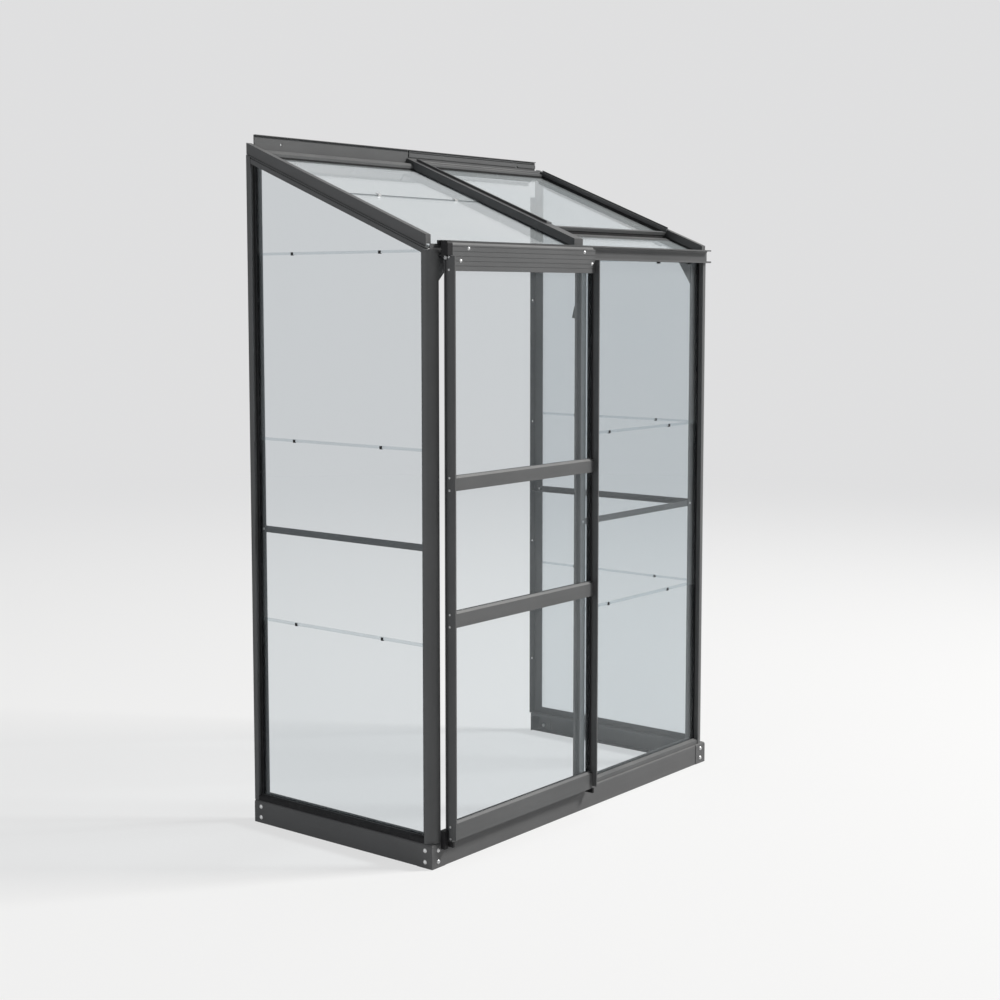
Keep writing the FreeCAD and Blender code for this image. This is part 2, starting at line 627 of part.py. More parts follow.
def vent_sill():
    """Bar that closes the top edge of the short roof pane below the vent, with a peg for the stay."""
    top = SILL_TOP
    cover = level_z(PANE_LEVEL, 128) + 0.5
    sheet = 1.5
    bend = 128 + (top - cover - sheet) / SLOPE
    back = VENT_FOOT_Y + 11
    section = [(128, cover), (128, cover + sheet), (bend, top), (back, top), (back, top - 9),
               (back - sheet, top - 9), (back - sheet, top - sheet), (bend + 1, top - sheet)]
    sill = bar("x", section, *SILL_BAR_X)
    x0 = CENTRE_BAR_X[0] + 23
    x1 = WIDTH - END_BAR_X[0] - 4
    tongue = roof_box(x0, x1, 137, 146, LEDGE_LEVEL + 0.6, PANE_LEVEL - 0.4)
    peg = fuse(rod(900, back - sheet, top - 5, Y_DIR, 3, 12), rod(900, back + 9, top - 5, Y_DIR, 5, 2))
    return fuse(sill, tongue, peg)


def roof_pieces():
    rail = gable_rail()
    edge_bar = end_bar()
    middle = (CENTRE_BAR_X[0] + CENTRE_BAR_X[1]) / 2
    left_x = (END_BAR_X[0] + 4, middle - PANE_SLOT)
    right_x = (middle + PANE_SLOT, WIDTH - END_BAR_X[0] - 4)
    seal_foot = level_z(PANE_LEVEL, 626) + 0.4
    ridge_seal = bar("x", [(625.5, seal_foot), (628.5, seal_foot + 1.3), (628.5, 1842.4), (625.5, 1842.4)],
                     *HOOD_X)
    return {
        "eave_track": eave_track(),
        "ridge_plate": ridge_plate(),
        "gable_rail_left": rail,
        "gable_rail_right": mirrored(rail),
        "rafter_left": edge_bar,
        "rafter_centre": centre_bar(),
        "rafter_right": mirrored(edge_bar),
        "roof_pane_left_lower": roof_pane(*left_x, ROOF_FOOT_Y, ROOF_LAP_Y + 8, PANE_LEVEL, 0),
        "roof_pane_left_upper": roof_pane(*left_x, ROOF_LAP_Y, ROOF_HEAD_Y, PANE_LEVEL, 3.3),
        "roof_pane_right_lower": roof_pane(*right_x, ROOF_FOOT_Y, LOWER_PANE_HEAD_Y, PANE_LEVEL, 0),
        "lap_clips": group(lap_clips()),
        "vent_sill_bar": vent_sill(),
        "glazing_seals": group(glazing_seals() + [ridge_seal]),
    }


# Small bolts

def bored(piece):
    """Clearance holes for the bolts that join flanges, mid bars and gable rail on the left and the front."""
    middle = (MID_BAR_Z[0] + MID_BAR_Z[1]) / 2
    for y in SIDE_BOLT_Y:
        piece = piece.cut(rod(FLANGE_IN - 1, y, middle, X_DIR, FRAME_BOLT_HOLE, 8))
    for x in FRONT_BOLT_X:
        piece = piece.cut(rod(x, FLANGE_IN - 1, middle, Y_DIR, FRAME_BOLT_HOLE, 8))
    x, y = GABLE_RIVET
    start = FreeCAD.Vector(x, y, level_z(LEDGE_LEVEL, y)) - UPHILL * 5
    return piece.cut(rod(start.x, start.y, start.z, UPHILL, FRAME_BOLT_HOLE, 8))


def frame_bolts():
    """Bolts through the flanges into the mid bars, gable rail rivets, and the hooks of the roof lap."""
    bolts = []
    middle = (MID_BAR_Z[0] + MID_BAR_Z[1]) / 2
    for y in SIDE_BOLT_Y:
        piece = domed_bolt(FLANGE_IN, y, middle, -X_DIR, 2 * SHEET, 3.6, 2.0)
        bolts += [piece, mirrored(piece)]
    for x in FRONT_BOLT_X:
        bolts.append(domed_bolt(x, FLANGE_IN, middle, -Y_DIR, 2 * SHEET, 3.6, 2.0))
    x, y = GABLE_RIVET
    thick = SHEET * math.cos(math.radians(ROOF_PITCH))
    under = FreeCAD.Vector(x, y, level_z(LEDGE_LEVEL, y)) - UPHILL * thick
    corner = rivet(under.x, under.y, under.z, -UPHILL, thick)
    bolts += [corner, mirrored(corner)]
    return group(bolts + [roof_clip(x) for x in ROOF_CLIP_X])


# Sliding door

def door_stile():
    """Left stile: a deep web that stands proud of the rails, a bolt groove and a rear glazing lip."""
    x0 = DOOR_X[0]
    front = DOOR_FRONT_Y
    back = DOOR_BACK_Y
    section = [(x0, front), (x0 + 4, front), (x0 + 4, front + SHEET), (x0 + SHEET, front + SHEET),
               (x0 + SHEET, -16.5), (x0 + 5, -16.5), (x0 + 5, back - SHEET), (x0 + 10, back - SHEET),
               (x0 + 10, back), (x0, back), (x0, -7), (x0 + 3, -7), (x0 + 3, -14.5), (x0, -14.5)]
    stile = bar("z", section, *STILE_Z)
    for z in screw_heights():
        stile = stile.cut(rod(x0 - 5, SCREW_Y, z, X_DIR, 1.6, 12))
    return stile


def to_right_stile(shape):
    return shape.mirror(FreeCAD.Vector(DOOR_MIDDLE, 0, 0), X_DIR)


def door_rail(low, high, slot_above, slot_below):
    """Rail with a bevelled top edge, pane slots and a hollow front chamber."""
    face = RAIL_FACE_Y
    back = RAIL_BACK_Y
    slot_front = DOOR_PANE_Y[0] - 0.8
    slot_back = DOOR_PANE_Y[1] + 0.8
    depth = 9.0
    corners = [(face, low), (face, high - 6), (face + 4.5, high)]
    if slot_above:
        corners += [(slot_front, high), (slot_front, high - depth)]
        corners += [(slot_back, high - depth), (slot_back, high)]
    corners += [(back, high), (back, low)]
    if slot_below:
        corners += [(slot_back, low), (slot_back, low + depth), (slot_front, low + depth), (slot_front, low)]
    x0 = DOOR_X[0] + 10.2
    x1 = DOOR_X[1] - 10.2
    rail = bar("x", corners, x0, x1)
    chamber = box(0, WIDTH, face + SHEET, slot_front - SHEET, low + 3, high - 8)
    nose = box(DOOR_X[0] + SHEET + 0.2, DOOR_X[1] - SHEET - 0.2, face, slot_front - SHEET, low, high - 6)
    rail = fuse(rail, nose).cut(chamber)
    for z in screw_heights():
        if low < z < high:
            for x in (DOOR_X[0], DOOR_X[1] - 10):
                rail = rail.cut(rod(x, SCREW_Y, z, X_DIR, 1.6, 10))
    return rail


def top_rail():
    low, high = RAIL_HEIGHTS["door_top_rail"]
    rail = door_rail(low, high, False, True)
    for z in GRIP_LINES_Z:
        rail = rail.cut(box(0, WIDTH, RAIL_FACE_Y - 1, RAIL_FACE_Y + 0.8, z, z + 1.6))
    for x, z in DOOR_BOLTS:
        rail = rail.cut(rod(x, -40, z, Y_DIR, DOOR_BOLT_HOLE, 60))
    return rail


def roller_bracket(x):
    """Steel plate on the back of the top rail with the spindle of one roller."""
    plate = box(x - 24, x + 24, RAIL_BACK_Y, RAIL_BACK_Y + SHEET, 1536, 1594)
    bracket = fuse(plate, rod(x, RAIL_BACK_Y, ROLLER_Z, Y_DIR, AXLE_RADIUS, 17.2))
    for bolt_x, z in DOOR_BOLTS:
        bracket = bracket.cut(rod(bolt_x, -40, z, Y_DIR, DOOR_BOLT_HOLE, 60))
    return bracket


def roller(x):
    """Grooved nylon wheel that runs in the eave track."""
    wheel = rod(x, 0.5, ROLLER_Z, Y_DIR, ROLLER_RADIUS, 6.5)
    groove = Part.makeTorus(ROLLER_RADIUS + 2.4, 3.2, FreeCAD.Vector(x, 3.75, ROLLER_Z), Y_DIR)
    return wheel.cut(groove).cut(rod(x, -5, ROLLER_Z, Y_DIR, AXLE_RADIUS + 0.05, 20))


def door_pieces():
    stile = door_stile()
    pieces = {
        "door_stile_left": stile,
        "door_stile_right": to_right_stile(stile),
        "door_top_rail": top_rail(),
        "roller_brackets": group([roller_bracket(x) for x in ROLLER_X]),
        "roller_left": roller(ROLLER_X[0]),
        "roller_right": roller(ROLLER_X[1]),
    }
    order = ("door_bottom_rail", "door_mid_rail_lower", "door_mid_rail_upper")
    for name in order:
        low, high = RAIL_HEIGHTS[name]
        pieces[name] = door_rail(low, high, True, name != "door_bottom_rail")
    order += ("door_top_rail",)
    x0 = DOOR_X[0] + 6
    x1 = DOOR_X[1] - 6
    for name, below, above in zip(("lower", "middle", "upper"), order[:-1], order[1:]):
        low = RAIL_HEIGHTS[below][1] - 8
        high = RAIL_HEIGHTS[above][0] + 8
        pieces["door_pane_" + name] = box(x0, x1, DOOR_PANE_Y[0], DOOR_PANE_Y[1], low, high)
    end_block = [(-30, 1566), (-30, 1594), (-27.7, 1599.7, -22, 1602), (-16, 1602),
                 (-10.3, 1599.7, -8, 1594), (-8, 1566)]
    pieces["door_end_block"] = bar("x", end_block, DOOR_X[0] - 17, DOOR_X[0] + 1.8)
    glider = box(DOOR_X[0] + 0.5, DOOR_X[0] + 7, -27, -1, 51.5, RAIL_HEIGHTS["door_bottom_rail"][0])
    pieces["door_gliders"] = group([glider, to_right_stile(glider)])
    grip = RAIL_BACK_Y + SHEET - RAIL_FACE_Y
    bolts = [domed_bolt(x, RAIL_FACE_Y, z, -Y_DIR, grip, 5.0, 2.5) for x, z in DOOR_BOLTS]
    pieces["door_fixings"] = group(door_screws() + bolts + [groove_bolt()])
    return pieces


def screw_heights():
    return [middle + side * SCREW_SPACING / 2 for middle in RAIL_MIDDLES for side in (-1, 1)]


def door_screws():
    """Screws through the stile webs into the rail ends, two at each rail."""
    screws = []
    for z in screw_heights():
        head = rod(DOOR_X[0] - 1.8, SCREW_Y, z, X_DIR, 3.0, 1.8)
        shaft = rod(DOOR_X[0], SCREW_Y, z, X_DIR, 1.4, 9.5)
        piece = fuse(head, shaft)
        screws += [piece, to_right_stile(piece)]
    return screws


def groove_bolt():
    """Short bolt in the groove of the left stile, under the end block."""
    x, y, z = DOOR_X[0], -10.75, 1560.4
    return fuse(rod(x - 4.6, y, z, X_DIR, 4.8, 4.4), rod(x - 1, y, z, X_DIR, 3.4, 4))


# Roof vent

def vent_side(web_x, leg_x, inward):
    """Side of the vent: an upstand over the roof bar, a leg beside it and a ledge for the pane."""
    edge_x = web_x + SHEET * inward
    leg_back = leg_x + SHEET * inward
    ledge_x = leg_back + 10 * inward
    low = VENT_PANE_LEVEL - GLASS - 0.3
    plate = CAP_LEVEL + 0.8
    section = [(web_x, plate), (web_x, VENT_LEVEL), (edge_x, VENT_LEVEL), (edge_x, plate + SHEET),
               (leg_back, plate + SHEET), (leg_back, low - SHEET), (leg_x, low - SHEET), (leg_x, plate)]
    rail = roof_bar(section, VENT_FOOT_Y - VENT_OVERHANG, VENT_HEAD_Y)
    ledge = roof_bar([(leg_back, low - SHEET), (leg_back, low), (ledge_x, low), (ledge_x, low - SHEET)],
                     VENT_FOOT_Y + 11.3, HINGE_LIP_Y - 0.3)
    return fuse(rail, ledge)


def vent_hinge_bar(x0, x1):
    """Bead that turns in the ridge hook, with a channel below it that grips the head of the pane."""
    y0, y1 = VENT_SEAL_Y
    face = y0 + 1.5
    lip_foot = level_z(VENT_SEAL_LEVEL, y0) - 2
    lip_top = lip_foot + 5.8
    back = VENT_HEAD_Y + 3
    under = VENT_PANE_LEVEL - GLASS - 0.3
    section = [
        (HINGE_Y, HINGE_Z + 1.2), (back - 1, lip_top + 1.5), (face, lip_top), (face, lip_foot), (y1, lip_foot),
        (y1, lip_top - 1.5), (back - SHEET, lip_top - 1.5), (back - SHEET, level_z(under, back - SHEET)),
        (HINGE_LIP_Y, level_z(under, HINGE_LIP_Y)), (HINGE_LIP_Y, level_z(under - SHEET, HINGE_LIP_Y)),
        (back, level_z(under - SHEET, back)),
        (back, lip_top - 1.5), (HINGE_Y, HINGE_Z - 1.4),
    ]
    bead = rod(x0, HINGE_Y, HINGE_Z, X_DIR, HINGE_BEAD, x1 - x0)
    return fuse(bead, bar("x", section, x0, x1))


def vent_bottom_rail(x0, x1):
    """Foot of the vent: a front wall square to the slope, a pane shelf, and a tab with the stay's pin."""
    front = VENT_FOOT_Y
    wall = front + 6
    back = front + 11
    foot = 1652.3
    shelf = (1651.2, 1653.4)
    nose = front - 4
    cap = VENT_PANE_LEVEL + 8.4
    rail = bar("x", [(front, foot), (nose, level_z(cap, nose)), (wall, level_z(cap, wall)), (wall, shelf[1]),
                     (back, shelf[1]), (back, shelf[0]), (wall - 0.1, shelf[0]), (wall - 0.1, foot)], x0, x1)
    tab = box(STAY_X - 10, STAY_X + 10, back - 1.8, back, SILL_TOP + 0.8, shelf[1])
    pin = [rod(STAY_X, back - 1, STAY_Z, Y_DIR, 2.5, 8.5), rod(STAY_X, 165.6, STAY_Z, Y_DIR, 5, 1.6),
           rod(STAY_X, back, STAY_Z, Y_DIR, 4, 1.6)]
    return fuse(rail, tab, *pin)


def vent_seals(x0, x1):
    """Black rubber: under the foot of the vent and along the other three edges of its pane."""
    low = VENT_PANE_LEVEL + 0.3
    y0, y1 = VENT_SEAL_Y
    foot = box(x0 + 2, x1 - 2, VENT_FOOT_Y + 2, VENT_FOOT_Y + 5.6, SILL_TOP + 0.4, 1652.1)
    head_top = level_z(VENT_SEAL_LEVEL, y0) - 2.2
    head = bar("x", [(y0, level_z(low, y0)), (y0, head_top), (y1, head_top), (y1, level_z(low, y1))],
               x0 + 1, x1 - 1)
    sides = [roof_box(x, x + 4, VENT_FOOT_Y + 8, y0 - 1, low, VENT_SEAL_LEVEL) for x in (x0 + 0.2, x1 - 4.2)]
    return group([foot, head] + sides)


def stay_arm():
    """Flat arm with a row of holes, an eye for its pin and a rounded tip."""
    y = 162.2
    thick = 2.8
    tip_x = STAY_X + STAY_LENGTH
    arm = fuse(box(STAY_X - 8, tip_x, y, y + thick, STAY_Z - 4, STAY_Z + 4),
               rod(STAY_X, y, STAY_Z, Y_DIR, 8, thick), rod(tip_x, y, STAY_Z, Y_DIR, 4, thick))
    for n in range(6):
        arm = arm.cut(rod(STAY_X + 90 + 30 * n, y - 2, STAY_Z, Y_DIR, 2.6, 8))
    return arm.cut(rod(STAY_X, y - 2, STAY_Z, Y_DIR, 2.55, 8))


def vent_pieces():
    x0 = VENT_LEG_X[0] + SHEET
    x1 = VENT_LEG_X[1] - SHEET
    pane = roof_pane(x0 + 0.6, x1 - 0.6, VENT_FOOT_Y + 6.4, VENT_HEAD_Y, VENT_PANE_LEVEL, 0)
    return {
        "vent_rail_left": vent_side(VENT_WEB_X[0], VENT_LEG_X[0], 1),
        "vent_rail_right": vent_side(VENT_WEB_X[1], VENT_LEG_X[1], -1),
        "vent_hinge_bar": vent_hinge_bar(x0, x1),
        "vent_bottom_rail": vent_bottom_rail(x0 + 0.2, x1 - 0.2),
        "vent_seals": vent_seals(x0, x1),
        "vent_pane": pane,
        "vent_stay": stay_arm(),
    }


def main():
    os.makedirs("parts", exist_ok=True)
    nodes = {}
    nodes.update(base_pieces())
    nodes.update(frame_uprights())
    nodes.update(wall_glass())
    nodes.update(roof_pieces())
    nodes["frame_bolts"] = frame_bolts()
    nodes["door_stop_block"] = box(35, 49.5, -12, 0, 47, 95)
    nodes.update(door_pieces())
    nodes.update(vent_pieces())
    for name, shape in nodes.items():
        shape.translate(TO_CENTRE)
        shape.exportStep("parts/" + name + ".step")
    print(len(nodes), "nodes")


main()
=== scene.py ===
import math

import bmesh
import bpy
from bpy.props import FloatProperty, FloatVectorProperty, PointerProperty
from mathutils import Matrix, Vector


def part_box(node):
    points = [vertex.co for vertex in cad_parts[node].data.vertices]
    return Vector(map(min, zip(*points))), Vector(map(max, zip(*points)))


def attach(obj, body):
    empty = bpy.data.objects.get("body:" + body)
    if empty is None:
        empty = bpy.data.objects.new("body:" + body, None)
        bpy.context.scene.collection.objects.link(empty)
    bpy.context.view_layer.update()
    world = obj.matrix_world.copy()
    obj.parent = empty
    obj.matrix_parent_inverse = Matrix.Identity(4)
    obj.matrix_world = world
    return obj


bl_info = {
    "name": "Lean-to greenhouse",
    "version": (1, 0, 0),
    "blender": (4, 5, 0),
    "location": "View3D > Sidebar > Greenhouse",
    "description": "Coats, glazes and trims a lean-to greenhouse on a pale studio floor",
    "category": "Object",
}

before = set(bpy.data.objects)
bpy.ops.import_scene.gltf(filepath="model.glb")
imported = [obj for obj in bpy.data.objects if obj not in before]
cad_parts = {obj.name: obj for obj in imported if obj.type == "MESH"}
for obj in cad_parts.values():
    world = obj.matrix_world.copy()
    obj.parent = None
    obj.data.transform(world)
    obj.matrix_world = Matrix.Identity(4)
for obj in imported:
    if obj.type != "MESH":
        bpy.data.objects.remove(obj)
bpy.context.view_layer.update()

# The photograph's view, solved for a square image
CAMERA_PLACE = (-3.8715, -3.0904, 1.4677)
CAMERA_YAW = math.radians(51.463)
CAMERA_PITCH = math.radians(5.541)
SENSOR_MM = 36.0
FOCAL_SHARE = 1.704249
CENTRE_SHIFT = -0.03976

# The nodes by what they are made of; all the others are extruded bars
WALL_PANES = (
    "left_wall_panes", "right_wall_panes", "front_panes", "left_gable_pane", "right_gable_pane",
)
DOOR_PANES = ("door_pane_lower", "door_pane_middle", "door_pane_upper")
ROOF_PANES = (
    "roof_pane_left_lower", "roof_pane_left_upper", "roof_pane_right_lower", "vent_pane",
)
RUBBER = ("glazing_seals", "vent_seals")
PLASTIC = (
    "lap_clips", "door_end_block", "door_gliders", "door_stop_block", "roller_left",
    "roller_right",
)
ZINC = ("base_bolts", "frame_bolts", "door_fixings", "roller_brackets")
STEEL = (
    "base_rail_front", "base_rail_left", "base_rail_right", "base_corner_plates",
    "base_wall_brackets",
)
NOT_BARS = WALL_PANES + DOOR_PANES + ROOF_PANES + RUBBER + PLASTIC + ZINC + STEEL

# The coat of the bars that lie along each axis, and how its drawing marks are squeezed:
# least along the bar and most across it
X, Y, Z = range(3)
BAR_COATS = {
    Z: ("coat_upright", (70.0, 70.0, 1.5)),
    X: ("coat_along", (1.5, 70.0, 70.0)),
    Y: ("coat_across", (70.0, 1.5, 60.0)),
}
BASE_MARKS = (2.0, 2.0, 60.0)
BASE_EXTRA_ROUGHNESS = 0.05
DUST = (0.42, 0.41, 0.39, 1.0)

# Each glass finish: its panes, its name, the axis that the cut edges face, their colour, and
# how metallic the glass's own reflection is
CUT_EDGE = (0.72, 0.8, 0.77, 1.0)
# Painted shade: the roof panes' cut edges are coloured near black, standing in for the shade they
# sit in
ROOF_EDGE_PAINTED_SHADE = (0.05, 0.06, 0.058, 1.0)
GLAZING = (
    (WALL_PANES, "glass_wall", Z, CUT_EDGE, 0.7),
    (DOOR_PANES, "glass_door", Z, CUT_EDGE, 0.7),
    # The roof's cut-edge colour is painted shade
    (ROOF_PANES, "glass_roof", Y, ROOF_EDGE_PAINTED_SHADE, 0.3),
)
SMEAR_MARKS = (26.0, 26.0, 2.2)
FACE_GLOSS = 0.04

# The door's rubber channels, in metres
SEAL_GAP = 0.0001
SEAL_CHAMFER = 0.001
EASED_EDGE = 0.0002

# The studio, in metres
LAMP_TARGET = (0.0, 0.0, 0.9)
KEY_PLACE = (6.15, -6.83, 8.6)
KEY_SIZE = 2.5
KEY_COLOUR = (1.0, 0.985, 0.96)
FILL_PLACE = (-5.0, 0.6, 1.6)
FILL_SIZE = 2.4
FILL_COLOUR = (0.96, 0.98, 1.0)
SKY_COLOUR = (0.96, 0.98, 1.0, 1.0)
FLOOR_DROP = 0.0008
FLOOR_FLECK = (0.9, 0.9, 0.9, 1.0)
FLOOR_WHITE = (0.92, 0.92, 0.92, 1.0)
FLOOR_FADE_START = 1.5
FLOOR_FADE_END = 9.0


# Shader expressions


class Wire:
    """A socket of a node tree that can be used in sums, products and powers."""

    def __init__(self, finish, socket):
        self.finish = finish
        self.socket = socket

    def maths(self, operation, *terms):
        settings = {"operation": operation}
        return self.finish.wire("ShaderNodeMath", 0, settings, dict(enumerate(terms)))

    def __add__(self, other):
        return self.maths("ADD", self, other)

    def __radd__(self, other):
        return self.maths("ADD", other, self)

    def __mul__(self, other):
        return self.maths("MULTIPLY", self, other)

    def __rmul__(self, other):
        return self.maths("MULTIPLY", other, self)

    def __pow__(self, other):
        return self.maths("POWER", self, other)

    def __abs__(self):
        return self.maths("ABSOLUTE", self)

    def larger(self, other):
        return self.maths("MAXIMUM", self, other)

    def above(self, low, high):
        """0 below low, 1 above high, and a smooth rise between them."""
        settings = {"interpolation_type": "SMOOTHSTEP"}
        values = {"Value": self, "From Min": low, "From Max": high}
        return self.finish.wire("ShaderNodeMapRange", "Result", settings, values)


class Finish:
    """A material, or the world, with its node tree, built node by node."""

    def __init__(self, owner):
        owner.use_nodes = True
        self.owner = owner
        self.tree = owner.node_tree
        self.tree.nodes.clear()

    def node(self, kind, settings=None, values=None):
        """A node of that kind. Its settings come first, then its sockets' values or links."""
        node = self.tree.nodes.new(kind)
        for name, value in (settings or {}).items():
            setattr(node, name, value)
        for name, value in (values or {}).items():
            if isinstance(value, Wire):
                self.tree.links.new(value.socket, node.inputs[name])
            else:
                node.inputs[name].default_value = value
        return node

    def wire(self, kind, output, settings=None, values=None):
        """One output of a new node."""
        return Wire(self, self.node(kind, settings, values).outputs[output])

    def place(self):
        """Position in the model's own frame, in metres."""
        return self.wire("ShaderNodeTexCoord", "Object")

    def distance(self):
        """Distance from the middle of the object's own space, in metres."""
        values = {0: self.place()}
        return self.wire("ShaderNodeVectorMath", "Value", {"operation": "LENGTH"}, values)

    def slant(self):
        """0 where a face is seen straight on and 1 where it is seen edge on, from either side."""
        return self.wire("ShaderNodeLayerWeight", "Facing", None, {"Blend": 0.5})

    def facing(self, axis):
        """How far the surface faces along one axis, from -1 to 1."""
        normal = self.wire("ShaderNodeNewGeometry", "Normal")
        return self.wire("ShaderNodeSeparateXYZ", axis, None, {0: normal})

    def noise(self, scale, detail=2.0, roughness=0.5, squeeze=None):
        """Noise with so many waves to the metre, times the squeeze of each axis."""
        place = self.place()
        if squeeze:
            values = {"Vector": place, "Scale": squeeze}
            place = self.wire("ShaderNodeMapping", "Vector", {"vector_type": "POINT"}, values)
        values = {"Vector": place, "Scale": scale, "Detail": detail, "Roughness": roughness}
        return self.wire("ShaderNodeTexNoise", "Fac", None, values)

    def blend(self, share, first, second):
        """A colour between two colours."""
        settings = {"data_type": "RGBA", "clamp_factor": True}
        return self.wire("ShaderNodeMix", 2, settings, {0: share, 6: first, 7: second})

    def bump(self, height, strength, depth):
        values = {"Height": height, "Strength": strength, "Distance": depth}
        return self.wire("ShaderNodeBump", "Normal", None, values)

    def shader(self, **values):
        names = {name.replace("_", " "): value for name, value in values.items()}
        return self.wire("ShaderNodeBsdfPrincipled", "BSDF", None, names)

    def mix(self, share, first, second):
        """A shader between two shaders."""
        return self.wire("ShaderNodeMixShader", "Shader", None, {0: share, 1: first, 2: second})

    def done(self, surface):
        is_world = isinstance(self.owner, bpy.types.World)
        kind = "ShaderNodeOutputWorld" if is_world else "ShaderNodeOutputMaterial"
        self.node(kind, None, {"Surface": surface})
        return self.owner


def new_finish(name):
    return Finish(bpy.data.materials.new(name))


def shade(colour, factor):
    """A colour made darker or lighter, with its alpha."""
    return tuple(channel * factor for channel in colour) + (1.0,)


def powder_coat(name, colour, roughness, marks):
    """Matt powder coat: orange peel, faint clouds and drawing marks, dust on upward faces."""
    make = new_finish(name)
    cloud = make.noise(5.0, detail=4.0, roughness=0.6)
    drawn = make.noise(1.0, detail=3.0, roughness=0.6, squeeze=marks)
    grain = make.noise(1400.0, roughness=0.6)
    dust = make.facing(Z).above(0.2, 1.0) * cloud.above(0.35, 0.75)
    base = make.blend(cloud.above(0.3, 0.7), shade(colour, 0.93), shade(colour, 1.06))
    base = make.blend(drawn.above(0.45, 0.75) * 0.35, base, shade(colour, 1.22))
    base = make.blend(dust * 0.12, base, DUST)
    rough = roughness + 0.12 * grain + 0.08 * dust
    peel = make.bump(grain, strength=0.25, depth=0.0004)
    return make.done(make.shader(
        Base_Color=base, Roughness=rough, Normal=peel, Specular_IOR_Level=0.3))


def clear_glass(name, tint, veil, edge_axis, edge_tint_and_painted_shade, mirror):
    """Horticultural glass: clear faces with a faint haze, and cut edges of another colour, which
    is painted shade on the roof.
    """
    make = new_finish(name)
    edge = abs(make.facing(edge_axis)).above(0.75, 0.9)
    haze = make.noise(3.5, detail=5.0, roughness=0.62).above(0.25, 0.85)
    smear = make.noise(1.0, detail=3.0, roughness=0.55, squeeze=SMEAR_MARKS).above(0.5, 0.9)
    gloss = FACE_GLOSS + (1.0 - FACE_GLOSS) * make.slant() ** 5
    solid = veil + 0.015 * haze + 0.01 * smear + gloss + edge * 0.4
    body = make.blend(haze, (0.62, 0.67, 0.69, 1.0), (0.7, 0.73, 0.74, 1.0))
    # The cut edges show the edge colour: green glass on the walls and door, painted shade on the
    # roof
    body = make.blend(edge, body, edge_tint_and_painted_shade)
    clear = make.wire("ShaderNodeBsdfTransparent", "BSDF", None, {"Color": (*tint, 1.0)})
    face = make.shader(Base_Color=body, Roughness=0.02 + 0.05 * haze, Metallic=mirror, IOR=1.5)
    return make.done(make.mix(solid, clear, face))


def black_rubber(name):
    """Dull extruded rubber with a chalky bloom."""
    make = new_finish(name)
    bloom = make.noise(60.0, detail=4.0, roughness=0.6)
    base = make.blend(
        bloom.above(0.4, 0.8), (0.008, 0.008, 0.009, 1.0), (0.022, 0.022, 0.023, 1.0))
    skin = make.bump(make.noise(2200.0), strength=0.3, depth=0.0003)
    return make.done(make.shader(
        Base_Color=base, Roughness=0.6 + 0.2 * bloom, Normal=skin, Specular_IOR_Level=0.2))


def moulded_plastic(name):
    """Black moulded plastic with a spark-eroded grain and rubbed lighter patches."""
    make = new_finish(name)
    grain = make.noise(900.0, detail=3.0, roughness=0.7)
    rubbed = make.noise(45.0, detail=3.0).above(0.55, 0.8)
    base = make.blend(rubbed, (0.012, 0.012, 0.013, 1.0), (0.03, 0.03, 0.031, 1.0))
    skin = make.bump(grain, strength=0.35, depth=0.0004)
    return make.done(make.shader(
        Base_Color=base, Roughness=0.5 + 0.2 * grain, Normal=skin, Specular_IOR_Level=0.2))


def zinc_plate(name):
    """Bright zinc on small fasteners, with a faint milky passivation."""
    make = new_finish(name)
    milk = make.noise(300.0, detail=3.0, roughness=0.6)
    base = make.blend(milk.above(0.35, 0.7), (0.48, 0.49, 0.5, 1.0), (0.62, 0.62, 0.61, 1.0))
    scuff = make.bump(make.noise(2600.0), strength=0.2, depth=0.0002)
    return make.done(make.shader(
        Base_Color=base, Metallic=0.85, Roughness=0.28 + 0.22 * milk, Normal=scuff))


def paint(nodes, material):
    """Gives every face of those nodes one material."""
    for name in nodes:
        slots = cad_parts[name].data.materials
        slots.clear()
        slots.append(material)


# Objects


def new_object(name, data):
    """An object in the scene that shows the data."""
    thing = bpy.data.objects.new(name, data)
    bpy.context.scene.collection.objects.link(thing)
    return thing


def from_shape(name, shape):
    """An object in the scene with the bmesh as its mesh."""
    mesh = bpy.data.meshes.new(name)
    shape.to_mesh(mesh)
    shape.free()
    return new_object(name, mesh)


def extruded(name, outline, low, high):
    """An upright strip with that plan outline, with its sharp edges eased."""
    shape = bmesh.new()
    rings = [[shape.verts.new((x, y, z)) for x, y in outline] for z in (low, high)]
    shape.faces.new(rings[0][::-1])
    shape.faces.new(rings[1])
    for n in range(len(outline)):
        ahead = (n + 1) % len(outline)
        shape.faces.new((rings[0][n], rings[0][ahead], rings[1][ahead], rings[1][n]))
    bmesh.ops.recalc_face_normals(shape, faces=shape.faces)
    bmesh.ops.bevel(
        shape, geom=shape.edges[:], offset=EASED_EDGE, segments=1, affect="EDGES")
    return from_shape(name, shape)


def floor_plane(size):
    """A level square just under the object's feet."""
    shape = bmesh.new()
    bmesh.ops.create_grid(shape, x_segments=1, y_segments=1, size=size / 2)
    floor = from_shape("floor", shape)
    floor.location.z = -FLOOR_DROP
    return floor


def area_lamp(name, place, size, power, colour):
    """A square lamp that shines at the middle of the object."""
    lamp = bpy.data.lights.new(name, "AREA")
    lamp.size = size
    lamp.energy = power
    lamp.color = colour
    holder = new_object(name, lamp)
    holder.location = place
    way = Vector(LAMP_TARGET) - Vector(place)
    holder.rotation_euler = way.to_track_quat("-Z", "Y").to_euler()


def seen_rays(make):
    """1 for rays that the camera, a mirror or glass sends out, and 0 for the rest."""
    rays = make.node("ShaderNodeLightPath")
    seen = Wire(make, rays.outputs["Is Camera Ray"])
    seen = seen.larger(Wire(make, rays.outputs["Is Glossy Ray"]))
    return seen.larger(Wire(make, rays.outputs["Is Transmission Ray"]))


# Settings in the sidebar


